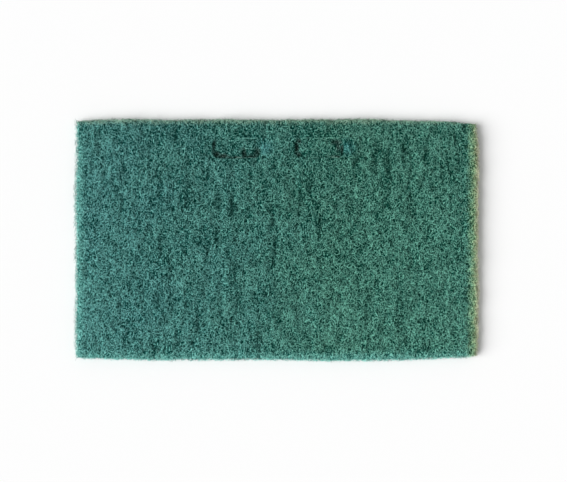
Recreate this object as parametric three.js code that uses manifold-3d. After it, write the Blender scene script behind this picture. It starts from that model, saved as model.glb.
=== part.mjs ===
// A rectangular floor scrubbing pad: one piece of lofty, resin-bonded nylon web, die-cut to size.
// Two rounded slots are punched near one long edge. The punched plugs are still in place, sunk below the
// working face and pressed down at their rims, with an open kerf round each of them.
//
// Millimetres, +Z up. The pad lies on its flat underside at z = 0, its length along X and its width along Y.
// The origin is under the middle of its bounding box.

import * as THREE from 'three';
import { ImprovedNoise } from 'three/addons/math/ImprovedNoise.js';
import { mergeVertices } from 'three/addons/utils/BufferGeometryUtils.js';
import Module from 'manifold-3d';

// Overall size
const padLength = 254;
const padWidth = 152;
const padThickness = 8;

// Die-cut outline: how far each corner stands back from a true rectangle, and over what length of side
const farLeftCornerBack = 1.5;
const farLeftCornerReach = 30;
const farRightCornerBack = 2.8;
const nearRightCornerBack = 2.2;
const nearLeftCornerBack = 1.2;
const longSideCornerReach = 58;
const rightSideFarBack = 2;
const rightSideNearBack = 1;
const rightSideReach = 32;

// Die-cut sides: a slow wander along the cut, and the fray of the web's ends
const sideWander = 0.7;
const sideWanderLength = 34;
const sideFray = 0.45;
const sideFrayLength = 7;

// Cut edges: the web is proud at mid-height, and its face falls off towards the cut
const rimSetback = 0.7;
const edgeDrop = 1.1;
const edgeDropReach = 3.4;

// Relief of the working face: long meandering grooves across the width, with pits and tufts between them
const swellHeight = 0.5;
const swellSpacing = 42;
const grooveDepth = 2.6;
const grooveWidth = 6.4;
const grooveLength = 27;
const grooveMeander = 9;
const grooveMeanderSpacing = 38;
const pitDepth = 1.5;
const pitSpacing = 6.1;
const tuftHeight = 0.9;
const tuftSpacing = 2.3;

// Punched slots
const slotLength = 30.8;
const slotHeight = 12.9;
const slotCornerRadius = 4.5;
const slotPitch = 52;
const slotEdgeDistance = 11.6;
const slotPairShift = 0.6;
const kerfWidth = 1.2;
const kerfDepth = 4.2;
const plugSink = 1.2;
const plugRimSag = 1.3;

// Division of the block that the relief is carried by
const faceColumns = 72;
const faceRows = 43;
const edgeLayers = 3;
const pointScatter = 0.4;
const undersideTrim = 1;
const slotCornerSteps = 7;

// Layers of the noise, one for each use of it
const layers = {
  leftSide: 1, rightSide: 2, farSide: 3, nearSide: 4,
  meander: 5, groove: 6, pit: 7, swell: 8, tuft: 9, scatterAlong: 10, scatterAcross: 11,
};
const layerSpacing = 17.4;
const frayShift = 7.7;

const webGreen = 0x3b6a61;

const wasm = await Module();
wasm.setup();

const noise = new ImprovedNoise();

// Smooth noise from -1 to 1. Each layer is a slice through another part of the noise.
function roll(x, y, layer) {
  const start = layer * layerSpacing;
  return noise.noise(x + start, y - start, start);
}

// The same noise from 0 to 1.
function share(x, y, layer) {
  return (roll(x, y, layer) + 1) / 2;
}

// The tops of the noise alone, from 0 to 1: separate hollows with level web between them.
function hollows(x, y, layer) {
  return Math.max(0, roll(x, y, layer));
}

// 1 at a place, falling smoothly to 0 at reach from it.
function fadeOut(distance, reach) {
  return THREE.MathUtils.clamp(1 - distance / reach, 0, 1) ** 2;
}

// How far a point of a cut side, at a place along it and a height, strays outward from its straight line.
function sideStray(along, height, layer) {
  const wander = sideWander * roll(along / sideWanderLength, 0, layer);
  const fray = sideFray * roll(along / sideFrayLength, height / sideFrayLength + frayShift, layer);
  return wander + fray;
}

// How far the whole outline is moved at a place on the pad. Each side's part fades towards the opposite side.
function outlineShift(x, y, height) {
  const fromLeft = padLength / 2 + x;
  const fromRight = padLength / 2 - x;
  const fromNear = padWidth / 2 + y;
  const fromFar = padWidth / 2 - y;
  const leftOut = sideStray(y, height, layers.leftSide);
  const rightOut = sideStray(y, height, layers.rightSide)
    - rightSideFarBack * fadeOut(fromFar, rightSideReach)
    - rightSideNearBack * fadeOut(fromNear, rightSideReach);
  const farOut = sideStray(x, height, layers.farSide)
    - farLeftCornerBack * fadeOut(fromLeft, farLeftCornerReach)
    - farRightCornerBack * fadeOut(fromRight, longSideCornerReach);
  const nearOut = sideStray(x, height, layers.nearSide)
    - nearLeftCornerBack * fadeOut(fromLeft, longSideCornerReach)
    - nearRightCornerBack * fadeOut(fromRight, longSideCornerReach);
  return {
    along: (fromLeft * rightOut - fromRight * leftOut) / padLength,
    across: (fromNear * farOut - fromFar * nearOut) / padWidth,
  };
}

// The height that the working face loses at a place.
function reliefDrop(x, y) {
  const meander = grooveMeander * roll(x / grooveMeanderSpacing, y / grooveMeanderSpacing, layers.meander);
  const groove = grooveDepth * hollows((x + meander) / grooveWidth, y / grooveLength, layers.groove);
  const pit = pitDepth * hollows(x / pitSpacing, y / pitSpacing, layers.pit);
  const swell = swellHeight * share(x / swellSpacing, y / swellSpacing, layers.swell);
  const tuft = tuftHeight * share(x / tuftSpacing, y / tuftSpacing, layers.tuft);
  return groove + pit + swell + tuft;
}

// A block of web whose working face is sunk by sinkAt(x, y): a divided box, each point moved to its place.
// It reaches undersideTrim below z = 0, where the underside is cut flat.
function webBlock(sinkAt) {
  const block = new THREE.BoxGeometry(
    padLength, padWidth, padThickness, faceColumns, faceRows, edgeLayers);
  block.deleteAttribute('normal');
  block.deleteAttribute('uv');
  const web = mergeVertices(block);
  const points = web.getAttribute('position');
  const columnPitch = padLength / faceColumns;
  const rowPitch = padWidth / faceRows;

  for (let i = 0; i < points.count; i++) {
    const x = points.getX(i);
    const y = points.getY(i);
    const level = points.getZ(i) / padThickness + 0.5;
    const insetX = padLength / 2 - Math.abs(x);
    const insetY = padWidth / 2 - Math.abs(y);
    const onEnd = insetX < columnPitch / 2;
    const onLongSide = insetY < rowPitch / 2;

    const shift = outlineShift(x, y, level * padThickness);
    let px = x + shift.along;
    let py = y + shift.across;
    // The upper and lower rims of a cut side stand back from its middle; points of the faces are scattered.
    const setback = rimSetback * (2 * level - 1) ** 2;
    if (onEnd) px -= Math.sign(x) * setback;
    if (onLongSide) py -= Math.sign(y) * setback;
    if (!onEnd && !onLongSide) {
      px += pointScatter * columnPitch * roll(x, y, layers.scatterAlong);
      py += pointScatter * rowPitch * roll(x, y, layers.scatterAcross);
    }

    const edge = edgeDrop * fadeOut(Math.min(insetX, insetY), edgeDropReach);
    const top = padThickness - reliefDrop(px, py) - edge - sinkAt(px, py);
    points.setXYZ(i, px, py, level * (top + undersideTrim) - undersideTrim);
  }
  return web;
}

// A geometry of merged points as a solid for joining and cutting.
function solidOf(geometry) {
  return new wasm.Manifold(new wasm.Mesh({
    numProp: 3,
    vertProperties: new Float32Array(geometry.getAttribute('position').array),
    triVerts: new Uint32Array(geometry.index.array),
  }));
}

function geometryOf(solid) {
  const mesh = solid.getMesh();
  const geometry = new THREE.BufferGeometry();
  geometry.setAttribute('position', new THREE.BufferAttribute(mesh.vertProperties, 3));
  geometry.setIndex(new THREE.BufferAttribute(mesh.triVerts, 1));
  return geometry;
}

function slotCentre(side) {
  return {
    x: slotPairShift + side * slotPitch / 2,
    y: padWidth / 2 - slotEdgeDistance - slotHeight / 2,
  };
}

// The slot's outline, a rectangle with round corners, drawn in by inset all round.
function slotOutline(inset) {
  const radius = slotCornerRadius - inset;
  const cornerX = slotLength / 2 - slotCornerRadius;
  const cornerY = slotHeight / 2 - slotCornerRadius;
  const quarter = Math.PI / 2;
  const outline = new THREE.Shape();
  outline.absarc(cornerX, cornerY, radius, 0, quarter);
  outline.absarc(-cornerX, cornerY, radius, quarter, 2 * quarter);
  outline.absarc(-cornerX, -cornerY, radius, 2 * quarter, 3 * quarter);
  outline.absarc(cornerX, -cornerY, radius, 3 * quarter, 4 * quarter);
  outline.closePath();
  return outline;
}

// A prism of the slot's outline between two heights, centred on a slot.
function slotPrism(inset, bottom, top, centre) {
  const prism = new THREE.ExtrudeGeometry(slotOutline(inset), {
    depth: top - bottom, bevelEnabled: false, curveSegments: slotCornerSteps });
  prism.translate(centre.x, centre.y, bottom);
  prism.deleteAttribute('normal');
  prism.deleteAttribute('uv');
  return solidOf(mergeVertices(prism));
}

// How deep a plug's face lies at a place: plugSink in its middle, and plugRimSag more at its rim.
function plugSinkAt(x, y, centre) {
  const alongShare = Math.abs(x - centre.x) / (slotLength / 2);
  const acrossShare = Math.abs(y - centre.y) / (slotHeight / 2);
  const rimShare = Math.min(1, Math.max(alongShare ** 4, acrossShare ** 2));
  return plugSink + plugRimSag * rimShare;
}

// Everything over z = 0 that the pad can fill.
function aboveUnderside() {
  const room = new THREE.BoxGeometry(2 * padLength, 2 * padWidth, 4 * padThickness);
  room.translate(0, 0, 2 * padThickness);
  room.deleteAttribute('normal');
  room.deleteAttribute('uv');
  return solidOf(mergeVertices(room));
}

// The pad: the block of web, with each slot's well cut to the kerf's floor and its sunk plug put back.
function makePad() {
  const aboveFace = 2 * padThickness;
  const kerfFloor = padThickness - kerfDepth;
  let pad = solidOf(webBlock(() => 0)).intersect(aboveUnderside());
  for (const side of [-1, 1]) {
    const centre = slotCentre(side);
    const well = slotPrism(0, kerfFloor, aboveFace, centre);
    const sunkWeb = solidOf(webBlock((x, y) => plugSinkAt(x, y, centre)));
    const plug = sunkWeb.intersect(slotPrism(kerfWidth, kerfFloor / 2, aboveFace, centre));
    pad = pad.subtract(well).add(plug);
  }
  const geometry = geometryOf(pad);
  geometry.computeBoundingBox();
  const middle = geometry.boundingBox.getCenter(new THREE.Vector3());
  geometry.translate(-middle.x, -middle.y, -geometry.boundingBox.min.z);
  geometry.computeVertexNormals();
  return geometry;
}

const nylonWeb = new THREE.MeshStandardMaterial({
  color: webGreen, roughness: 0.9, metalness: 0, flatShading: true });

const scrubPad = new THREE.Mesh(makePad(), nylonWeb);
scrubPad.name = 'scrub_pad';

const part = new THREE.Group();
part.add(scrubPad);

export default part;
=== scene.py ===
# %% [markdown]
# # A scrubbing pad, fibre by fibre
#
# A floor scrubbing pad is a thick felt of crimped nylon fibres, sprayed with a green resin and die-cut to a
# rectangle. It is mostly air. From a step away its look comes from thousands of thin bright squiggles over
# dark pores, so a flat sheet with a picture on it never looks right.
#
# This lesson builds it in layers: a dark mass with pores for the deep web, and real curled fibres on every
# face of it. All lengths are in metres in Blender, so each value is written as a number of millimetres
# times mm.

# %% The frame and the tools
import math

import bpy
import numpy as np
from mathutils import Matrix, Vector
from mathutils.bvhtree import BVHTree


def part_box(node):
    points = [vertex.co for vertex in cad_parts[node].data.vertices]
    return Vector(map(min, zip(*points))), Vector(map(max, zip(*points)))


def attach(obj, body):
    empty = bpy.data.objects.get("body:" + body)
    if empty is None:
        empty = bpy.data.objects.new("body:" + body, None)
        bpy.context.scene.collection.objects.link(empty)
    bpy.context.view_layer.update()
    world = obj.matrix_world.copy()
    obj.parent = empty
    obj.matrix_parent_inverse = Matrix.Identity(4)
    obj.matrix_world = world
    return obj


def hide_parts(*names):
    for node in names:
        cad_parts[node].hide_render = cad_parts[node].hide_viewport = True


mm = 0.001
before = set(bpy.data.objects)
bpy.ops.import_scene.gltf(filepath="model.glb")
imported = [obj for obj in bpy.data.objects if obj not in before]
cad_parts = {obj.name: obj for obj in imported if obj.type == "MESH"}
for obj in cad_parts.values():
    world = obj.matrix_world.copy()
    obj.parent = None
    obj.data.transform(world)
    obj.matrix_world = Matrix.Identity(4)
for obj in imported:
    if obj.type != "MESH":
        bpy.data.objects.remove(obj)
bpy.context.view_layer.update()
pad_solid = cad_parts["scrub_pad"]
pad_low, pad_high = (np.array(corner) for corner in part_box("scrub_pad"))
print("the solid pad measures", np.round((pad_high - pad_low) / mm, 1), "mm")

# %% [markdown]
# ## The camera
#
# The photograph looks straight down on the pad, from far enough away that its sides don't show. The camera
# is placed so that one pixel of the 567 x 482 frame covers the same length on the pad as in the photograph,
# and so that the middle of the pad falls on the same pixel.

# %% Camera, straight above the pad
frame_pixels = np.array([567, 482])
photo_pad_middle = np.array([277.2, 239.8])
photo_pad_width = 403.3

pad_length = 254 * mm
pixel = pad_length / photo_pad_width
camera_data = bpy.data.cameras.new("camera")
camera_data.lens = 85
camera_data.sensor_width = 36
camera_height = pixel * frame_pixels[0] * camera_data.lens / camera_data.sensor_width
camera = bpy.data.objects.new("camera", camera_data)
bpy.context.scene.collection.objects.link(camera)
off_middle = (frame_pixels / 2 - photo_pad_middle) * pixel
camera.location = (off_middle[0], -off_middle[1], pad_high[2] + camera_height)
bpy.context.scene.camera = camera
print(f"one pixel covers {pixel / mm:.3f} mm, and the camera is {camera_height:.2f} m up")

# %% [markdown]
# ## The shape that everything follows
#
# The solid pad already has the real outline, the grooves and the two punched slots. Rays shot at it from
# outside turn each of its six faces into a height map, which the mass and the fibres then follow. A face
# has two directions of its own, along and up, and a third that points out of it. A place on it is given as
# u, v and a depth below the surface, so one function can lay fibres on any face.

# %% A face as a height map
corners = [tuple(v.co) for v in pad_solid.data.vertices]
polygons = [tuple(p.vertices) for p in pad_solid.data.polygons]
pad_tree = BVHTree.FromPolygons(corners, polygons)
pad_middle = (pad_low + pad_high) / 2
ray_start = 0.2
far_behind = 5 * mm


class Face:
    """A face of the pad, scanned with rays into a grid of heights."""

    def __init__(self, name, along, up, out, pitch=0.45 * mm, trim=0):
        self.name, self.pitch = name, pitch
        self.along, self.up, self.out = (np.array(a, float) for a in (along, up, out))
        spans = [np.sort([pad_low @ abs(a), pad_high @ abs(a)]) for a in (self.along, self.up)]
        (self.u_low, self.u_high), (self.v_low, self.v_high) = spans
        self.us = np.arange(self.u_low + pitch / 2, self.u_high, pitch)
        self.vs = np.arange(self.v_low + pitch / 2, self.v_high, pitch)
        self.height = np.full((len(self.us), len(self.vs)), np.nan)
        outside = self.out * (abs(pad_middle @ self.out) + ray_start)
        for i, u in enumerate(self.us):
            for j, v in enumerate(self.vs):
                start = self.along * u + self.up * v + outside
                hit = pad_tree.ray_cast(Vector(start), Vector(-self.out))[0]
                if hit is not None:
                    self.height[i, j] = np.array(hit) @ self.out
        # A ray that grazes over the rim and meets the pad far behind it counts as a miss. A place that was
        # missed takes its height from the nearest hits along the face. The first and last few hits of a
        # cut side lie on the round of a corner and are left out too, so that the corners come out square.
        self.solid = np.abs(self.height - np.nanmedian(self.height)) < far_behind
        number = np.arange(len(self.us))
        for heights, hits in zip(self.height.T, self.solid.T):
            trusted = np.flatnonzero(hits)[trim:hits.sum() - trim]
            if len(trusted):
                heights[:] = np.interp(number, trusted, heights[trusted])
        self.height[:, ~self.solid.any(axis=0)] = np.nanmedian(self.height[self.solid])

    def cell(self, u, v):
        """The grid place of u, v, as two fractional indices."""
        i = np.clip((u - self.us[0]) / self.pitch, 0, len(self.us) - 1.001)
        j = np.clip((v - self.vs[0]) / self.pitch, 0, len(self.vs) - 1.001)
        return i, j

    def surface(self, u, v):
        """The height of the surface at u, v, blended from the four samples round it."""
        i, j = self.cell(u, v)
        i0, j0 = i.astype(int), j.astype(int)
        a, b = i - i0, j - j0
        h = self.height
        lower = h[i0, j0] * (1 - a) + h[i0 + 1, j0] * a
        upper = h[i0, j0 + 1] * (1 - a) + h[i0 + 1, j0 + 1] * a
        return lower * (1 - b) + upper * b

    def holds(self, u, v):
        """Whether the solid lies under u, v."""
        i, j = self.cell(u, v)
        within = (u > self.u_low) & (u < self.u_high) & (v > self.v_low) & (v < self.v_high)
        return within & self.solid[np.rint(i).astype(int), np.rint(j).astype(int)]

    def place(self, u, v, depth):
        """Points of space for places on the face."""
        out = self.surface(u, v) - depth
        return u[..., None] * self.along + v[..., None] * self.up + out[..., None] * self.out


top = Face("top", (1, 0, 0), (0, 1, 0), (0, 0, 1))
bottom = Face("bottom", (1, 0, 0), (0, 1, 0), (0, 0, -1), pitch=1.5 * mm)
left = Face("left", (0, 1, 0), (0, 0, 1), (-1, 0, 0), trim=5)
right = Face("right", (0, 1, 0), (0, 0, 1), (1, 0, 0), trim=5)
near = Face("near", (1, 0, 0), (0, 0, 1), (0, -1, 0), trim=5)
far = Face("far", (1, 0, 0), (0, 0, 1), (0, 1, 0), trim=5)
cut_sides = [left, right, near, far]
for face in [top, bottom] + cut_sides:
    print(f"{face.name}: {face.height.size} rays, {face.solid.mean():.0%} met the pad")

# %% [markdown]
# ## Smooth random fields
#
# Pores, thin patches and crimp all need numbers that vary smoothly over the pad. A grid of random numbers,
# blended between its points, gives that with no add-on, and a fixed seed gives the same pad every time.

# %% Soft noise over two directions
def soft_noise(x, y, spacing_x, spacing_y, seed):
    """Smooth noise from -1 to 1 with its own spacing in each direction."""
    dice = np.random.default_rng(seed)
    grid = dice.uniform(-1, 1, (256, 256))
    x, y = x / spacing_x, y / spacing_y
    i, j = np.floor(x).astype(int), np.floor(y).astype(int)
    a, b = x - i, y - j
    a, b = a * a * (3 - 2 * a), b * b * (3 - 2 * b)
    row = grid[i % 256, j % 256] * (1 - a) + grid[(i + 1) % 256, j % 256] * a
    next_row = grid[i % 256, (j + 1) % 256] * (1 - a) + grid[(i + 1) % 256, (j + 1) % 256] * a
    return row * (1 - b) + next_row * b


# %% [markdown]
# ## Slots, streaks and pressed places
#
# The face has marks that the fibres have to follow. Inside the two punched slots the web is sunk, and
# pressed down further at a few spots along the punch's line. Thin dark streaks run across the whole pad.
# Most come from noise, and the longest lie where the photograph shows them.

# %% The two punched slots
slot_size = np.array([30.8, 12.9]) * mm
slot_corner = 4.5 * mm
slot_middles = [np.array([-25.4, 58.1]) * mm, np.array([26.6, 58.1]) * mm]


def slot_number(x, y):
    """0 outside the slots, and 1 or 2 inside one of them."""
    number = np.zeros(np.shape(x), int)
    for n, middle in enumerate(slot_middles, start=1):
        beyond = [np.maximum(np.abs(c - m) - size / 2 + slot_corner, 0)
                  for c, m, size in zip((x, y), middle, slot_size)]
        number[np.hypot(*beyond) < slot_corner] = n
    return number


# %% Marks on the face
# The longest dark streaks of this pad: x, y, half width and half length in pixels of the photograph
streak_marks = [
    (217, 237, 1.8, 9), (274, 245, 1.8, 20), (198, 318, 2, 16), (406, 338, 2.5, 12), (160, 248, 2, 14),
    (188, 186, 1.8, 24), (427, 151, 2, 9), (442, 172, 1.8, 10), (402, 312, 1.8, 16), (279, 317, 2.5, 8),
    (319, 228, 1.8, 16), (350, 207, 2, 9), (272, 220, 2, 11), (233, 208, 2, 14), (187, 305, 1.8, 10),
    (389, 170, 3, 17), (385, 200, 3, 8), (310, 184, 4, 8), (175, 136, 4, 8), (300, 196, 2.5, 12),
    (124, 168, 2.5, 9), (158, 300, 2.5, 14), (376, 150, 3.5, 14), (405, 148, 3, 12), (208, 180, 2, 12),
]
# Where the punch has pressed the plugs deepest, in the same pixels. The web is sunk there and painted a
# darker grey, as grey dirt and painted shade of the recess.
press_marks = [
    (217, 154, 3, 3), (223, 155.5, 5, 2.2), (236, 157.3, 9, 0.9), (244.5, 153, 2.2, 4.5),
    (251, 156.5, 6, 1.3), (257.5, 152, 3.2, 4.5), (297, 147, 1.6, 4.5), (299.5, 141, 2, 2),
    (299, 154, 2.5, 2), (338, 141.5, 5, 2), (338.5, 146, 2, 4), (342.5, 149, 1.3, 5), (337, 156.5, 6, 1),
]
faint_press_marks = [(213.5, 145, 1.6, 6)]


def marked(x, y, marks):
    """1 in the middle of a mark, falling to 0 outside it."""
    found = np.zeros(np.shape(x))
    for px, py, wide, high in marks:
        mark_x = (px - photo_pad_middle[0]) * pixel
        mark_y = (photo_pad_middle[1] - py) * pixel
        away = ((x - mark_x) / (wide * pixel)) ** 2 + ((y - mark_y) / (high * pixel)) ** 2
        found = np.maximum(found, np.exp(-away))
    return found


# %% Streaks and pressed places
def streaks(x, y):
    """1 in the thin, dark streaks that run across the pad's width, 0 between them."""
    bend = 5 * mm * soft_noise(x, y, 30 * mm, 24 * mm, seed=3)
    line = np.clip(1 - np.abs(soft_noise(x + bend, y, 5 * mm, 22 * mm, seed=4)) / 0.16, 0, 1)
    broken = np.clip(2 * soft_noise(x + bend, y, 6 * mm, 12 * mm, seed=5), 0, 1)
    return np.clip(0.8 * line * broken + marked(x + 0.2 * bend, y, streak_marks), 0, 1.3)


def pressed(x, y):
    """How hard the punch has pressed the web at a place, inside the slots alone."""
    deep, faint = marked(x, y, press_marks), marked(x, y, faint_press_marks)
    return np.maximum(deep, 0.5 * faint) * (slot_number(x, y) > 0)


def pressed_at(points):
    """How far each point of a piece is pressed down. The underside isn't."""
    return pressed(points[:, 0], points[:, 1]) * (points[:, 2] > 1 * mm)


def extra_depth(x, y):
    """How much deeper the web lies in a streak and where it is pressed down."""
    return 0.8 * mm * np.clip(0.8 * streaks(x, y) + 1.2 * pressed(x, y), 0, 2)


# %% The working face that the web follows
plug_level = pad_high[2] - 1.9 * mm
press_depth = 2.0 * mm


def web_surface(x, y):
    """The working face. Fibres bridge the kerf round each plug, and it is open only where it is pressed."""
    bridge = plug_level - press_depth * pressed(x, y)
    solid = top.surface(x, y)
    return np.where(slot_number(x, y) > 0, np.maximum(solid, bridge), solid)


sample_x, sample_y = np.meshgrid(top.us, top.vs, indexing="ij")
print(f"streaks cover {(streaks(sample_x, sample_y) > 0.3).mean():.0%} of the face")

# %% [markdown]
# ## Colour of the resin, as a node group
#
# Every part of the web has the same resin on it, so its colour is one node group that each material uses
# with values of its own. The green drifts from a bluer left to a greener right. The pad is painted lighter
# towards the left and the near side and darker towards the far side, as painted light from the lamp's side.
# The cut edges differ: the right-hand one has lost its resin and shows yellowed fibre, the far one has pale
# fibre ends painted lighter still against the shade of that side, and the left and near ones are painted a
# pale mint, a painted highlight where the lamp catches their fibre ends. Raised fibres are painted lighter
# than deep ones, which a value painted on each piece tells the material: painted light and shade of the
# web's depth, and wear on the raised fibres.

# %% Helpers for node trees
def add(tree, kind, **settings):
    """Adds a node to a tree and sets its properties."""
    node = tree.nodes.new(kind)
    for name, value in settings.items():
        setattr(node, name, value)
    return node


def feed(tree, socket, source):
    """Gives a socket a number or colour, or a link from another node's output."""
    if isinstance(source, bpy.types.NodeSocket):
        tree.links.new(source, socket)
    else:
        socket.default_value = source


def blend_value(tree, value, low, high, out_low=0.0, out_high=1.0):
    """A smooth ramp from out_low to out_high as value goes from low to high."""
    node = add(tree, "ShaderNodeMapRange", interpolation_type="SMOOTHSTEP")
    for socket, source in zip(node.inputs, (value, low, high, out_low, out_high)):
        feed(tree, socket, source)
    return node.outputs["Result"]


def calculate(tree, operation, *sources):
    """The result of a sum or another operation on one, two or three sources."""
    node = add(tree, "ShaderNodeMath", operation=operation)
    for socket, source in zip(node.inputs, sources):
        feed(tree, socket, source)
    return node.outputs[0]


def mix_colours(tree, share, a, b):
    """Colour a where share is 0, and colour b where it is 1."""
    node = add(tree, "ShaderNodeMix", data_type="RGBA")
    feed(tree, node.inputs["Factor"], share)
    feed(tree, node.inputs[6], a)
    feed(tree, node.inputs[7], b)
    return node.outputs[2]


def noise_of(tree, place, size, detail=2.0, stretch=(1, 1, 1)):
    """Noise whose patches are about size metres across, stretched by each direction's factor."""
    scaled = add(tree, "ShaderNodeVectorMath", operation="MULTIPLY")
    feed(tree, scaled.inputs[0], place)
    scaled.inputs[1].default_value = [1 / (size * s) for s in stretch]
    noise = add(tree, "ShaderNodeTexNoise")
    noise.inputs["Scale"].default_value = 1.0
    noise.inputs["Detail"].default_value = detail
    tree.links.new(scaled.outputs[0], noise.inputs["Vector"])
    return noise.outputs[0]


def srgb(red, green, blue):
    """A colour as a paint program shows it, 0 to 255, as the linear colour that a shader wants."""
    levels = [c / 255 for c in (red, green, blue)]
    return [c / 12.92 if c < 0.04045 else ((c + 0.055) / 1.055) ** 2.4 for c in levels] + [1.0]


def start_group(name, inputs, output, output_type):
    """A node group with a Place, some numbers and their defaults as inputs, and one output."""
    group = bpy.data.node_groups.new(name, "ShaderNodeTree")
    group.interface.new_socket("Place", in_out="INPUT", socket_type="NodeSocketVector")
    for input_name, value in inputs.items():
        socket = group.interface.new_socket(input_name, in_out="INPUT", socket_type="NodeSocketFloat")
        socket.default_value = value
    group.interface.new_socket(output, in_out="OUTPUT", socket_type=output_type)
    given = add(group, "NodeGroupInput").outputs
    result = add(group, "NodeGroupOutput").inputs[output]
    return group, given, result


def split_place(tree, place):
    """The x, y and z of a place."""
    parts = add(tree, "ShaderNodeSeparateXYZ")
    feed(tree, parts.inputs[0], place)
    return parts.outputs


# %% The green of the face
edge_low_x, edge_low_y = float(pad_low[0]), float(pad_low[1])
edge_x, edge_y = float(pad_high[0]), float(pad_high[1])


def face_greens(group, place, x, dirt_and_shade):
    """The colours of a raised and of a deep fibre, away from the cut edges. They are a lit and a shaded
    copy of the green, as painted light and shade, and the raised one is greyer, with painted sheen and wear
    in it.
    """
    # They drift over the whole pad
    mottle = calculate(group, "MULTIPLY", noise_of(group, place, 28 * mm), 0.5)
    drift = calculate(group, "ADD", blend_value(group, x, edge_low_x, edge_x), mottle)
    raised = mix_colours(group, drift, srgb(145, 225, 224), srgb(141, 217, 195))
    deep = mix_colours(group, drift, srgb(0, 61, 58), srgb(0, 58, 47))

    # A bluer spot lies just right of each slot, and is painted lighter too: a painted highlight where the
    #     slot's rim catches the light.
    for middle in slot_middles:
        away = add(group, "ShaderNodeVectorMath", operation="DISTANCE")
        feed(group, away.inputs[0], place)
        away.inputs[1].default_value = (middle[0] + slot_size[0] / 2 + 2 * mm, middle[1], pad_high[2])
        lit_rim_spot = blend_value(group, away.outputs["Value"], 8 * mm, 0.5 * mm, 0, 0.5)
        raised = mix_colours(group, lit_rim_spot, raised, srgb(130, 226, 232))
        deep = mix_colours(group, lit_rim_spot, deep, srgb(6, 72, 74))

    # Where a plug is pressed down, the fibres turn a darker grey: grey dirt between them, and painted shade
    #     of the sunk recess.
    raised = mix_colours(group, dirt_and_shade, raised, srgb(160, 200, 188))
    deep = mix_colours(group, dirt_and_shade, deep, srgb(22, 52, 46))
    return raised, deep


# %% The cut edges
# The colours of a raised and of a deep fibre in each edge's border, in the order in which they are mixed in
edge_colours = {
    # The mint of the left and near edges is a painted highlight, where the lamp catches the fibre ends. The
    # far edge's colour is its pale fibre ends, painted lighter still against the shade of that side.
    "lit_mint": (srgb(160, 236, 224), srgb(18, 94, 88)),
    "fringe": (srgb(196, 212, 208), srgb(62, 88, 86)),
    "far_pale_and_lit": (srgb(200, 228, 200), srgb(50, 92, 74)),
    "yellowed": (srgb(218, 246, 190), srgb(56, 98, 54)),
    "bleached": (srgb(250, 252, 222), srgb(150, 150, 110)),
}


def edge_borders(group, place, x, y):
    """How much of each edge's colour a place has. All but the left fringe have a ragged border."""
    ragged = calculate(group, "MULTIPLY_ADD", noise_of(group, place, 3 * mm, 4), 6 * mm, -3 * mm)
    frayed_x = calculate(group, "ADD", x, ragged)
    frayed_y = calculate(group, "ADD", y, ragged)
    # The left and near borders: a painted highlight where the lamp catches the fibre ends
    lit_mint = calculate(
        group, "MAXIMUM",
        blend_value(group, frayed_x, 8 * mm - edge_x, -edge_x, 0, 0.75),
        blend_value(group, frayed_y, 9 * mm - edge_y, -edge_y, 0, 0.8))
    # The far border: pale fibre ends, painted lighter against the shade of that side
    far_pale_and_lit = blend_value(group, frayed_y, edge_y - 5 * mm, edge_y, 0, 0.8)
    yellowed = blend_value(group, frayed_x, edge_x - 9 * mm, edge_x - 1 * mm, 0, 0.9)
    bleached = blend_value(group, frayed_x, edge_x - 3.8 * mm, edge_x + 0.2 * mm)
    fringe = blend_value(group, x, 1 * mm - edge_x, -edge_x - 0.5 * mm, 0, 0.7)
    return {
        "lit_mint": lit_mint, "fringe": fringe, "far_pale_and_lit": far_pale_and_lit, "yellowed": yellowed, "bleached": bleached,
    }


# %% How light each place is
def lightness(group, given, x, y, borders):
    """0 where a fibre is as dark as a deep one, and 1 where it is as light as a raised one."""
    place = given["Place"]
    tone = calculate(group, "MULTIPLY_ADD", given["Tone"], 0.6, -0.3)
    # Dark spots of noise are painted shade in the pores, as strong as the input asks
    pores = calculate(group, "SUBTRACT", noise_of(group, place, 0.75 * mm, 1, stretch=(0.9, 1.5, 1)), 0.5)
    pores = calculate(group, "MULTIPLY", pores, given["Mottling"])
    wide_noise = noise_of(group, place, 9 * mm, 1, stretch=(1, 2, 1))
    patches = calculate(group, "MULTIPLY_ADD", wide_noise, 0.1, -0.05)
    # Painted light from the lamp's side: lighter towards the left and the near side, darker towards the far
    # side
    left_lamp_light = blend_value(group, x, edge_low_x + 55 * mm, edge_low_x, -0.16, -0.08)
    near_lamp_light = blend_value(group, y, edge_low_y, edge_y, 0.09, -0.02)
    # The cut edges are lighter: painted light on the left, near and far edges, and the paler bare fibre of
    # the right-hand one
    edge_lift = calculate(group, "MAXIMUM", borders["lit_mint"], borders["yellowed"])
    edge_lift = calculate(group, "MAXIMUM", edge_lift, borders["far_pale_and_lit"])
    edge_lift = calculate(group, "MULTIPLY", edge_lift, 0.3)
    from_middle = add(group, "ShaderNodeVectorMath", operation="LENGTH")
    feed(group, from_middle.inputs[0], place)
    middle_lift = blend_value(group, from_middle.outputs["Value"], 30 * mm, 80 * mm, -0.04, 0.0)
    lift = given["Raised"]
    for part in (tone, pores, patches, left_lamp_light, near_lamp_light, edge_lift, middle_lift):
        lift = calculate(group, "ADD", lift, part)
    clear = add(group, "ShaderNodeClamp")
    feed(group, clear.inputs["Value"], lift)
    return clear.outputs[0]


# %% The node group for the resin's colour
# How dark the painted shade in the pores gets: in full on the face and cut sides, and less on the underside
full_pore_shade = 3.3
back_pore_shade = 1.0


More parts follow.
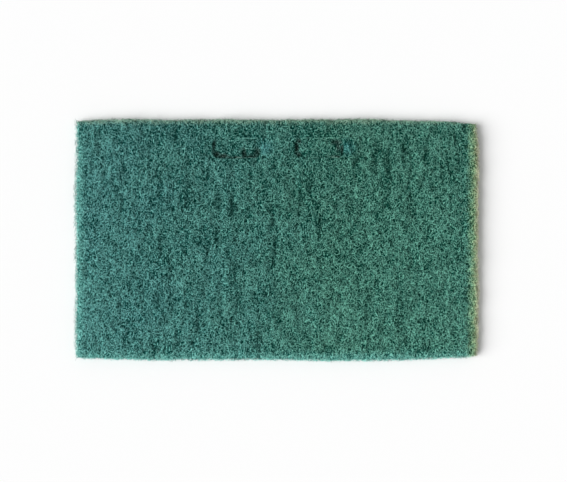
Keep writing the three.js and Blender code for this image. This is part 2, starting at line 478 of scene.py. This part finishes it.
def make_resin_group():
    numbers = {"Raised": 0.5, "Tone": 0.5, "Pressed": 0.0, "Mottling": full_pore_shade}
    group, given, colour = start_group("resin_colour", numbers, "Colour", "NodeSocketColor")
    place = given["Place"]
    x, y, _ = split_place(group, place)
    raised, deep = face_greens(group, place, x, given["Pressed"])
    borders = edge_borders(group, place, x, y)
    for name, (raised_edge, deep_edge) in edge_colours.items():
        raised = mix_colours(group, borders[name], raised, raised_edge)
        deep = mix_colours(group, borders[name], deep, deep_edge)
    lift = lightness(group, given, x, y, borders)

    # Red comes in later than green as the fibres get lighter, so the dark ones are a deeper green
    green_part = add(group, "ShaderNodeSeparateColor")
    feed(group, green_part.inputs[0], mix_colours(group, lift, deep, raised))
    red_part = add(group, "ShaderNodeSeparateColor")
    feed(group, red_part.inputs[0], mix_colours(group, calculate(group, "POWER", lift, 1.15), deep, raised))
    whole = add(group, "ShaderNodeCombineColor")
    for channel, source in (("Red", red_part), ("Green", green_part), ("Blue", green_part)):
        feed(group, whole.inputs[channel], source.outputs[channel])
    feed(group, colour, whole.outputs[0])
    return group


resin_group = make_resin_group()
print("resin group has", len(resin_group.nodes), "nodes")

# %% [markdown]
# ## The web in the depth, as a node group
#
# Below the fibres that can be told apart lies web that the eye takes as a fine net. Voronoi cells have thin
# lines between them, and once their coordinates are pushed about by noise these lines curl like fibres. Two
# nets of different sizes, laid over each other, give both a colour pattern and a height for a bump.

# %% The node group for a net of fibres
def make_net_group():
    numbers = {"Cell": 2.2 * mm, "Thickness": 0.12}
    group, given, fibres = start_group("fibre_net", numbers, "Fibres", "NodeSocketFloat")
    scaled = add(group, "ShaderNodeVectorMath", operation="DIVIDE")
    feed(group, scaled.inputs[0], given["Place"])
    feed(group, scaled.inputs[1], given["Cell"])
    push = add(group, "ShaderNodeTexNoise")
    push.inputs["Scale"].default_value = 1.1
    push.inputs["Detail"].default_value = 1.0
    feed(group, push.inputs["Vector"], scaled.outputs[0])
    curled = add(group, "ShaderNodeVectorMath", operation="MULTIPLY_ADD")
    feed(group, curled.inputs[0], push.outputs["Color"])
    curled.inputs[1].default_value = (1.6, 1.6, 1.6)
    feed(group, curled.inputs[2], scaled.outputs[0])
    cells = add(group, "ShaderNodeTexVoronoi", feature="DISTANCE_TO_EDGE")
    cells.inputs["Scale"].default_value = 1.0
    feed(group, cells.inputs["Vector"], curled.outputs[0])
    feed(group, fibres, blend_value(group, cells.outputs["Distance"], 0.0, given["Thickness"], 1.0, 0.0))
    return group


net_group = make_net_group()


def use_group(tree, group, **inputs):
    """The output of a node group for the given inputs."""
    node = add(tree, "ShaderNodeGroup", node_tree=group)
    for name, source in inputs.items():
        feed(tree, node.inputs[name], source)
    return node.outputs[0]


# %% [markdown]
# ## Materials
#
# The mass below gets its lightness from the two nets, and the fibres get theirs from how high they lie, as
# painted light and shade, and from a tone of their own. Both are nylon under resin with fine grit in it:
# rough, with a slight gloss.

# %% Steps that both materials share
def start_material(name, roughness, gloss):
    """A new material, its node tree, its shader, and the place of a point on the pad."""
    material = bpy.data.materials.new(name)
    material.use_nodes = True
    tree = material.node_tree
    shader = tree.nodes["Principled BSDF"]
    shader.inputs["Roughness"].default_value = roughness
    shader.inputs["Specular IOR Level"].default_value = gloss
    place = add(tree, "ShaderNodeTexCoord").outputs["Object"]
    return material, tree, shader, place


def painted(tree, name):
    """The number that a piece has been painted with."""
    return add(tree, "ShaderNodeAttribute", attribute_name=name).outputs["Fac"]


def add_bump(tree, shader, height, strength, distance):
    """Lets a height from 0 to 1 tilt the surface, as if it stood out by a distance."""
    bump = add(tree, "ShaderNodeBump")
    bump.inputs["Strength"].default_value = strength
    bump.inputs["Distance"].default_value = distance
    feed(tree, bump.inputs["Height"], height)
    feed(tree, shader.inputs["Normal"], bump.outputs[0])


# %% Material of the mass
def make_mass_material():
    material, tree, shader, place = start_material("web_mass", roughness=0.85, gloss=0.05)
    coarse = use_group(tree, net_group, Place=place, Cell=1.8 * mm, Thickness=0.22)
    fine = use_group(tree, net_group, Place=place, Cell=1.1 * mm, Thickness=0.24)
    lines = calculate(tree, "MAXIMUM", coarse, calculate(tree, "MULTIPLY", fine, 0.7))
    share = calculate(tree, "MULTIPLY", painted(tree, "raised"), 0.55)
    raised = calculate(tree, "MULTIPLY", lines, share)
    height = split_place(tree, place)["Z"]
    pore_shade = blend_value(tree, height, 0.8 * mm, 2.5 * mm, back_pore_shade, full_pore_shade)
    dirt_and_shade = painted(tree, "pressed")
    colour = use_group(
        tree, resin_group, Place=place, Raised=raised, Tone=0.5, Pressed=dirt_and_shade, Mottling=pore_shade)
    feed(tree, shader.inputs["Base Color"], colour)
    add_bump(tree, shader, lines, strength=0.9, distance=0.4 * mm)
    return material


# %% Material of the fibres
def make_fibre_material(name, lift=0.0):
    material, tree, shader, place = start_material(name, roughness=0.6, gloss=0.15)
    raised = calculate(tree, "ADD", painted(tree, "raised"), lift)
    tone, dirt_and_shade = painted(tree, "tone"), painted(tree, "pressed")
    colour = use_group(tree, resin_group, Place=place, Raised=raised, Tone=tone, Pressed=dirt_and_shade)
    grit = noise_of(tree, place, 0.5 * mm, 3)
    feed(tree, shader.inputs["Base Color"], colour)
    feed(tree, shader.inputs["Roughness"], blend_value(tree, grit, 0.3, 0.7, 0.45, 0.8))
    add_bump(tree, shader, grit, strength=0.4, distance=0.1 * mm)
    return material


mass_material = make_mass_material()
fibre_material = make_fibre_material("web_fibre")
cut_fibre_material = make_fibre_material("cut_fibre", lift=0.1)
print("materials:", [m.name for m in (mass_material, fibre_material, cut_fibre_material)])

# %% [markdown]
# ## The mass of the web
#
# The deep web is one closed mesh: a fine grid for the working face, rings of points down the cut sides, and
# one flat face underneath. It lies a little inside the solid, so that the fibres can stand over it. Real
# pores are sunk into the grid, because a bump alone has no parallax from the side.

# %% Pores in the working face
mass_inset = 0.3 * mm
mass_sink = 0.55 * mm
back_level = pad_low[2] + 0.45 * mm


def pore_depth(x, y):
    """How far the mass sinks below the face: pores about 1.5 mm apart, and more in the streaks."""
    broad = soft_noise(x, y, 0.7 * mm, 1.1 * mm, seed=11)
    fine = soft_noise(x, y, 0.6 * mm, 0.7 * mm, seed=12)
    pits = np.clip(broad + 0.5 * fine + 0.25, 0, 1.2)
    return 1.1 * mm * pits + extra_depth(x, y)


# %% The mass as one closed mesh
mass_columns, mass_rows, mass_rings = 330, 196, 8


def unit_grid():
    """Places from 0 to 1 along and across the pad, for each point of the mass's upper side."""
    return np.meshgrid(np.linspace(0, 1, mass_columns), np.linspace(0, 1, mass_rows), indexing="ij")


def grid_cells(grid):
    """The four corners of each cell of a grid."""
    return np.stack([grid[:-1, :-1], grid[1:, :-1], grid[1:, 1:], grid[:-1, 1:]], axis=2)


def grid_rim(grid):
    """What lies along the rim of a grid, once round."""
    return np.concatenate([grid[:, 0], grid[-1, 1:], grid[-2::-1, -1], grid[0, -2:0:-1]])


def side_line(face, along):
    """How far out a cut side of the mass stands at places along it."""
    return face.surface(along, np.full_like(along, pad_middle[2])) - mass_inset


def build_mass():
    """Points and quads of the mass, the polygon that closes it below, and how raised each point is."""
    s, t = unit_grid()
    flat_x = pad_low[0] + s * (pad_high[0] - pad_low[0])
    flat_y = pad_low[1] + t * (pad_high[1] - pad_low[1])
    low_x, high_x = -side_line(left, flat_y), side_line(right, flat_y)
    low_y, high_y = -side_line(near, flat_x), side_line(far, flat_x)
    x, y = low_x + s * (high_x - low_x), low_y + t * (high_y - low_y)
    surface = web_surface(x, y)
    depth = mass_sink + pore_depth(x, y)
    z = np.maximum(surface - depth, 1.2 * mm)
    points = [np.stack([x, y, z], axis=-1).reshape(-1, 3)]
    index = np.arange(x.size).reshape(x.shape)
    quads = [grid_cells(index).reshape(-1, 4)]
    # Deeper points are painted darker, as painted shade of the pores
    raised = [np.clip(1 - depth / (1.9 * mm), 0, 1).reshape(-1)]
    rim = grid_rim(index)

    # Rings of points down the cut sides, each pushed in and out a little
    rim_points = points[0][rim]
    inward = rim_points - pad_middle
    inward[:, 2] = 0
    inward /= np.linalg.norm(inward, axis=1)[:, None]
    round_rim = np.cumsum(np.linalg.norm(np.diff(rim_points, axis=0, prepend=rim_points[:1]), axis=1))
    above = rim
    count = x.size
    for ring in range(1, mass_rings + 1):
        level = 1 - ring / mass_rings
        pushed = rim_points.copy()
        pushed[:, 2] = back_level + (rim_points[:, 2] - back_level) * level
        push = soft_noise(round_rim, pushed[:, 2], 1.6 * mm, 1.2 * mm, seed=13)
        ring_raised = np.full(len(rim), 0.9)
        if ring < mass_rings:
            pushed -= inward * (0.35 * mm * (push + 0.6))[:, None]
            # A point pushed further in is painted darker, as painted shade in the side's hollows
            ring_raised = np.clip(0.5 - 0.5 * push, 0, 1)
        points.append(pushed)
        raised.append(ring_raised)
        below = count + np.arange(len(rim))
        count += len(rim)
        quads.append(np.stack([np.roll(above, -1), above, below, np.roll(below, -1)], axis=-1))
        above = below
    return np.concatenate(points), np.concatenate(quads), above[::-1], np.concatenate(raised)


def add_piece(name, points, faces, material):
    """A mesh object from points and faces, smooth shaded, riding on the pad's body."""
    mesh = bpy.data.meshes.new(name)
    mesh.from_pydata(points.tolist(), [], faces)
    mesh.shade_smooth()
    mesh.materials.append(material)
    piece = bpy.data.objects.new(name, mesh)
    bpy.context.scene.collection.objects.link(piece)
    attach(piece, "root")
    return piece


def lay_out(piece, places):
    """Gives a piece a texture map: a place in the image for each corner of each face."""
    layer = piece.data.uv_layers.new(name="OFBake")
    layer.uv.foreach_set("vector", places.astype(np.float32).reshape(-1))


def paint(piece, name, values):
    """Stores a number for each point of a piece, for its material to read."""
    attribute = piece.data.attributes.new(name, "FLOAT", "POINT")
    attribute.data.foreach_set("value", values.astype(np.float32))


strip_width = 0.03


def mass_places():
    """The texture map of the mass: its face, its back, and its cut sides as strips beside them."""
    s, t = unit_grid()
    width, height = 0.79, 0.475
    flat = np.stack([0.005 + width * s, 0.01 + height * t], axis=-1)
    face = grid_cells(flat).reshape(-1, 2)
    back = grid_rim(flat)[::-1] + [0, 0.5]

    # Each cut side is a strip that stands upright, as long as the face's side that it belongs to
    counts = (mass_columns - 1, mass_rows - 1, mass_columns - 1, mass_rows - 1)
    starts = ((0.82, 0.01, width), (0.90, 0.01, height), (0.86, 0.01, width), (0.90, 0.51, height))
    strips = []
    for ring in range(mass_rings):
        for count, (strip_x, strip_y, length) in zip(counts, starts):
            along = strip_y + length * np.arange(count) / count
            ahead = along + length / count
            upper = strip_x - strip_width * ring / mass_rings
            lower = strip_x - strip_width * (ring + 1) / mass_rings
            corners = [(ahead, upper), (along, upper), (along, lower), (ahead, lower)]
            strip = [np.stack([np.full(count, across), up], axis=-1) for up, across in corners]
            strips.append(np.stack(strip, axis=1).reshape(-1, 2))
    return np.concatenate([face, *strips, back])


mass_points, mass_quads, underside, mass_raised = build_mass()
pad_mass = add_piece("pad_mass", mass_points, mass_quads.tolist() + [underside.tolist()], mass_material)
pad_mass.data.polygons[-1].use_smooth = False
lay_out(pad_mass, mass_places())
paint(pad_mass, "raised", mass_raised)
paint(pad_mass, "pressed", pressed_at(mass_points))
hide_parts("scrub_pad")
print("the mass has", sum(len(p.vertices) - 2 for p in pad_mass.data.polygons), "triangles")

# %% [markdown]
# ## Fibres
#
# A nylon fibre in such a web is crimped: it snakes from side to side around its own direction, and dips in
# and out of the surface. Each path here is a walk in small steps whose heading swings like that. Where a
# walk leaves the pad it stops, as a fibre does at the cutting die. The path then becomes a tube with three
# sides, which is enough for something a fifth of a millimetre thick and keeps the pad under a million
# triangles in all.

# %% Crimped walks over a face
step = 0.95 * mm


def crimped_walks(face, count, steps, seed, across_share=0.65,
                  depth_range=(-0.1 * mm, 0.9 * mm), dip=0.75 * mm):
    """Paths over a face: u, v and depth for each strand and step."""
    dice = np.random.default_rng(seed)
    one = (count, 1)
    u = dice.uniform(face.u_low, face.u_high, one)
    v = dice.uniform(face.v_low, face.v_high, one)
    along_step = np.arange(steps)[None, :] * step
    main = dice.uniform(0, 2 * math.pi, one)
    across = dice.uniform(size=one) < across_share
    main = np.where(across, math.pi / 2 + dice.normal(0, 0.45, one), main)
    swing = dice.uniform(0.7, 1.5, one)
    wavelength = dice.uniform(4.5, 9.0, one) * mm
    phase = dice.uniform(0, 2 * math.pi, one)
    drift = np.cumsum(dice.normal(0, 0.22, (count, steps)), axis=1)
    heading = main + swing * np.sin(2 * math.pi * along_step / wavelength + phase) + drift
    u = u + np.cumsum(np.cos(heading), axis=1) * step
    v = v + np.cumsum(np.sin(heading), axis=1) * step

    dip_phase = dice.uniform(0, 2 * math.pi, one)
    dip_length = dice.uniform(6, 14, one) * mm
    dipped = dip * np.sin(2 * math.pi * along_step / dip_length + dip_phase)
    ends = 1.2 * mm * np.abs(np.linspace(-1, 1, steps))[None, :] ** 6
    depth = dice.uniform(*depth_range, one) + dipped + ends
    return u, v, depth


def keep_from_start(on_pad):
    """True up to the first step that is off the pad."""
    return np.cumprod(on_pad, axis=1).astype(bool)


# %% Tubes along the walks
def tubes(paths, kept, radius, normal, whole=True):
    """Points, faces and texture places of three-sided tubes along paths, closed at both ends.

    A tube that isn't whole is a ridge of its two upper sides alone. In the texture map each strand has a
    cell of its own, with its length along the image.
    """
    strands, steps, _ = paths.shape
    tangent = np.gradient(paths, axis=1)
    tangent /= np.linalg.norm(tangent, axis=2)[..., None] + 1e-12
    side = np.cross(tangent, normal)
    side /= np.linalg.norm(side, axis=2)[..., None] + 1e-12
    over = np.cross(side, tangent)
    rings = []
    for turn in (90, 210, 330):
        angle = math.radians(turn)
        rings.append(paths + radius * (math.cos(angle) * side + math.sin(angle) * over))
    points = np.stack(rings, axis=2).reshape(-1, 3)
    index = np.arange(strands * steps * 3).reshape(strands, steps, 3)

    sides = (0, 1, 2) if whole else (2, 0)
    columns = max(1, round(math.sqrt(strands * len(sides) / (steps - 1))))
    rows = math.ceil(strands / columns)

    def cell(strand, along, across):
        u = (strand % columns + 0.02 + 0.93 * along) / columns
        v = (strand // columns + 0.1 + 0.8 * across) / rows
        return np.stack(np.broadcast_arrays(u, v), axis=-1).reshape(-1, 2)

    strand, start = np.nonzero(kept[:, :-1] & kept[:, 1:])
    a, b = index[strand, start], index[strand, start + 1]
    faces, places = [], []
    for number, k in enumerate(sides):
        k_next = (k + 1) % 3
        faces += np.stack([a[:, k], a[:, k_next], b[:, k_next], b[:, k]], axis=1).tolist()
        along = (start[:, None] + np.array([0, 0, 1, 1])) / (steps - 1)
        places.append(cell(strand[:, None], along, (number + np.array([0, 1, 1, 0])) / len(sides)))
    if whole:
        ended = np.flatnonzero(kept[:, 1])
        last = kept.sum(axis=1)[ended] - 1
        faces += index[ended, 0][:, ::-1].tolist() + index[ended, last].tolist()
        for low in (0.0, 0.5):
            places.append(cell(ended[:, None], np.array([1.01, 1.04, 1.01]), low + np.array([0, 0, 0.4])))
    return points, faces, np.concatenate(places)


def add_strands(name, material, strands, raised, tone):
    """A piece of web from strands, painted with how raised each point is and the tone of each strand."""
    points, faces, places = strands
    used = np.zeros(len(points), bool)
    used[[i for face in faces for i in face]] = True
    number = (np.cumsum(used) - 1).tolist()
    piece = add_piece(name, points[used], [[number[i] for i in face] for face in faces], material)
    lay_out(piece, places)
    paint(piece, "raised", np.broadcast_to(raised[..., None], raised.shape + (3,)).reshape(-1)[used])
    paint(piece, "tone", np.broadcast_to(tone[..., None], raised.shape + (3,)).reshape(-1)[used])
    paint(piece, "pressed", pressed_at(points[used]))
    print(f"{name}: {len(raised)} strands, {sum(len(face) - 2 for face in faces)} triangles")


# %% A piece of web laid on a face
fibre_radius = 0.10 * mm
corner_reach = 5 * mm


def corner_fade(face, u):
    """0 at both ends of a cut side, rising to 1 further in, so that nothing stands out at a corner."""
    return np.clip(np.minimum(u - face.u_low, face.u_high - u) / corner_reach, 0, 1)


def lay_web(name, face, count, steps, seed, material, **walk):
    """A piece of crimped strands that follows a face of the pad."""
    u, v, depth = crimped_walks(face, count, steps, seed, **walk)
    on_pad = face.holds(u, v)
    bridged = 0.0
    if face in cut_sides:
        depth = depth * corner_fade(face, u)
    if face is top:
        # The punch cut every fibre at a slot's wall
        slot = slot_number(u, v)
        on_pad &= slot == slot[:, :1]
        depth = depth + extra_depth(u, v)
        bridged = web_surface(u, v) - face.surface(u, v)
    kept = keep_from_start(on_pad)
    paths = face.place(u, v, depth - bridged)
    paths[..., 2] = np.maximum(paths[..., 2], pad_low[2] + 1.3 * fibre_radius)
    dice = np.random.default_rng(seed + 500)
    radii = dice.uniform(0.8, 1.2, (count, 1, 1)) * fibre_radius
    strands = tubes(paths, kept, radii, face.out, whole=face in cut_sides)
    # Deeper fibres are painted darker: painted shade of the web's depth, and wear on the raised ones
    raised = np.clip(0.75 - depth / (2.2 * mm), 0, 1)
    if face is top:
        # Fibres in the slots are painted lighter against the shade of the sunk plugs, and those in the
        # streaks painted darker, as painted shade of the deeper web there
        raised = raised + 0.08 * (slot > 0) - 0.25 * streaks(u, v)
    add_strands(name, material, strands, raised, dice.uniform(0, 1, (count, 1)))


for layer in range(1, 5):
    lay_web(f"face_web_{layer}", top, 2000, 22, 100 + layer, fibre_material)

# %% Cut ends along the walls of the slots
end_steps = 5
# The first paints a highlight on the cut ends at the slots' walls; the second is for the loose ends of the
# cut sides
bright, dull = 1.1, 0.1


def wall_ends(name, wall, count, seed):
    """Short ends along one wall of both slots, 1 the far and -1 the near. They are painted light, a painted
    highlight where the walls catch the light.
    """
    dice = np.random.default_rng(seed)
    one = (2 * count, 1)
    middle = np.repeat(np.array(slot_middles), count, axis=0)
    span = slot_size[0] / 2 - 0.6 * slot_corner
    u = middle[:, :1] + span * (2 * dice.uniform(size=one) ** 0.7 - 1)
    length = dice.uniform(0.8, 2.2, one) * mm
    along = np.linspace(-0.5, 0.5, end_steps)[None, :]
    u = u + length * along
    v = middle[:, 1:] + wall * (slot_size[1] / 2 - 0.4 * mm) + dice.normal(0, 0.25 * mm, one)
    v = v + dice.normal(0, 0.25, one) * length * along ** 2
    out = top.surface(u, v + wall * 1.4 * mm) + dice.uniform(-0.3, 0.1, one) * mm
    paths = np.stack([u, v, out], axis=-1)
    strands = tubes(paths, np.ones(u.shape, bool), 0.9 * fibre_radius, top.out)
    add_strands(name, fibre_material, strands, np.full(u.shape, bright), dice.uniform(0.5, 1.1, one))


wall_ends("far_wall_ends", 1, 36, 501)
wall_ends("near_wall_ends", -1, 14, 502)

# %% [markdown]
# ## Cut sides and underside
#
# The die leaves the sides as a dense, level-lying tangle of cut ends. The underside is the same web as the
# working face, pressed flat by the surface that it lies on.

# %% Webs on the cut sides
side_strands_per_mm = 2.6
# How far each cut side has fluffed up, how far its loose ends reach, and how many of them stand on each
# millimetre: left, right, near and far
fluff = [1.5 * mm, 0.8 * mm, 0.6 * mm, 0.0 * mm]
reaches = [1.0 * mm, 0.7 * mm, 0.6 * mm, 0.5 * mm]
ends_per_mm = [7, 3, 4, 3]

for number, face in enumerate(cut_sides):
    length = face.u_high - face.u_low
    count = int(length / mm * side_strands_per_mm)
    lay_web(f"{face.name}_side_web", face, count, 12, 200 + number, cut_fibre_material,
            across_share=0.0, depth_range=(-fluff[number], 0.3 * mm), dip=0.4 * mm)

# %% Loose ends that stand out of the cut sides
def loose_ends(name, face, per_mm, mean_reach, seed):
    """Short curled ends: each starts under a cut side and stands out of it."""
    dice = np.random.default_rng(seed)
    count = int((face.u_high - face.u_low) / mm * per_mm)
    one = (count, 1)
    u = dice.uniform(face.u_low, face.u_high, one)
    v = dice.uniform(0.6 * mm, face.v_high - 1.2 * mm, one)
    kept = np.repeat(face.holds(u, v), end_steps, axis=1)
    reach = np.minimum(dice.gamma(3.0, mean_reach / 3, one), 2.2 * mean_reach)
    reach = reach * (0.2 + 0.8 * corner_fade(face, u))
    along = np.linspace(0, 1, end_steps)[None, :]
    lean, curl = dice.normal(0, 0.7, one), dice.normal(0, 1.3, one)
    u = u + reach * along * (lean + curl * along)
    v = np.minimum(v + reach * along * dice.normal(0, 0.4, one), face.v_high)
    depth = 0.5 * mm - (0.5 * mm + reach) * along
    paths = face.place(u, v, depth)
    paths[..., 2] = np.maximum(paths[..., 2], pad_low[2] + fibre_radius)
    radii = dice.uniform(0.6, 0.9, (count, 1, 1)) * fibre_radius
    strands = tubes(paths, kept, radii, face.along)
    add_strands(name, cut_fibre_material, strands, np.full(u.shape, dull), dice.uniform(0, 1, one))


for number, face in enumerate(cut_sides):
    loose_ends(f"{face.name}_loose_ends", face, ends_per_mm[number], reaches[number], 400 + number)

# %% Web on the underside
lay_web("underside_web", bottom, 1080, 22, 300, fibre_material,
        depth_range=(0.05 * mm, 0.25 * mm), dip=0.1 * mm)

# %% [markdown]
# ## Floor and light
#
# The photograph has a white table and one broad, soft light from the left, which leaves a soft shadow along
# the right-hand edge. A sun lamp with a wide angle gives that light. The floor is white to the camera, and
# the lamps stay at a level at which a colour renders about as it is written.

# %% Floor
def make_floor():
    """A white table under the pad, which counts as the stage and not as a piece."""
    material = bpy.data.materials.new("white_table")
    material.use_nodes = True
    tree = material.node_tree
    shader = tree.nodes["Principled BSDF"]
    shader.inputs["Base Color"].default_value = (0.94, 0.94, 0.94, 1)
    shader.inputs["Roughness"].default_value = 0.9
    shader.inputs["Specular IOR Level"].default_value = 0.0
    mesh = bpy.data.meshes.new("table")
    reach = 3.0
    mesh.from_pydata([(-reach, -reach, 0), (reach, -reach, 0), (reach, reach, 0), (-reach, reach, 0)], [],
                     [(0, 1, 2, 3)])
    mesh.materials.append(material)
    table = bpy.data.objects.new("table", mesh)
    bpy.context.scene.collection.objects.link(table)
    table.location.z = pad_low[2] - 0.05 * mm


make_floor()

# %% Light from the left, and the room's light
def add_sun(azimuth, elevation, strength, angle):
    """A sun lamp that shines from an azimuth (0 is +X, turning towards +Y) and an elevation."""
    lamp = bpy.data.lights.new("soft_sun", "SUN")
    lamp.energy = strength
    lamp.angle = math.radians(angle)
    sun = bpy.data.objects.new("soft_sun", lamp)
    a, e = math.radians(azimuth), math.radians(elevation)
    towards_light = Vector((math.cos(a) * math.cos(e), math.sin(a) * math.cos(e), math.sin(e)))
    sun.rotation_euler = towards_light.to_track_quat("Z", "Y").to_euler()
    bpy.context.scene.collection.objects.link(sun)


room_light = 0.40
add_sun(azimuth=195, elevation=37, strength=3.4, angle=48)
world = bpy.data.worlds.new("room")
bpy.context.scene.world = world
world.use_nodes = True
room = world.node_tree.nodes["Background"]
rays = add(world.node_tree, "ShaderNodeLightPath").outputs
mirrored = calculate(world.node_tree, "MAXIMUM", rays["Is Glossy Ray"], rays["Is Transmission Ray"])
seen = calculate(world.node_tree, "MAXIMUM", rays["Is Camera Ray"], mirrored)
room.inputs["Color"].default_value = (1, 1, 1, 1)
brightness = blend_value(world.node_tree, seen, 0.0, 1.0, room_light, 1.0)
feed(world.node_tree, room.inputs["Strength"], brightness)
bpy.context.scene.view_settings.view_transform = "Standard"

# %% [markdown]
# ## Sizes
#
# The finished pad has to fill the same box as the solid one, apart from a few loose ends. The solid's box
# is printed at the start, and here the triangles of the pieces are counted.

# %% Triangles of the pieces
meshes = [o for o in bpy.data.objects if o.type == "MESH"]
pieces = [o for o in meshes if o.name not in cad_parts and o.name != "table"]
triangles = [sum(len(p.vertices) - 2 for p in o.data.polygons) for o in pieces]
print(f"{sum(triangles)} triangles in all, and {max(triangles)} in the largest piece")
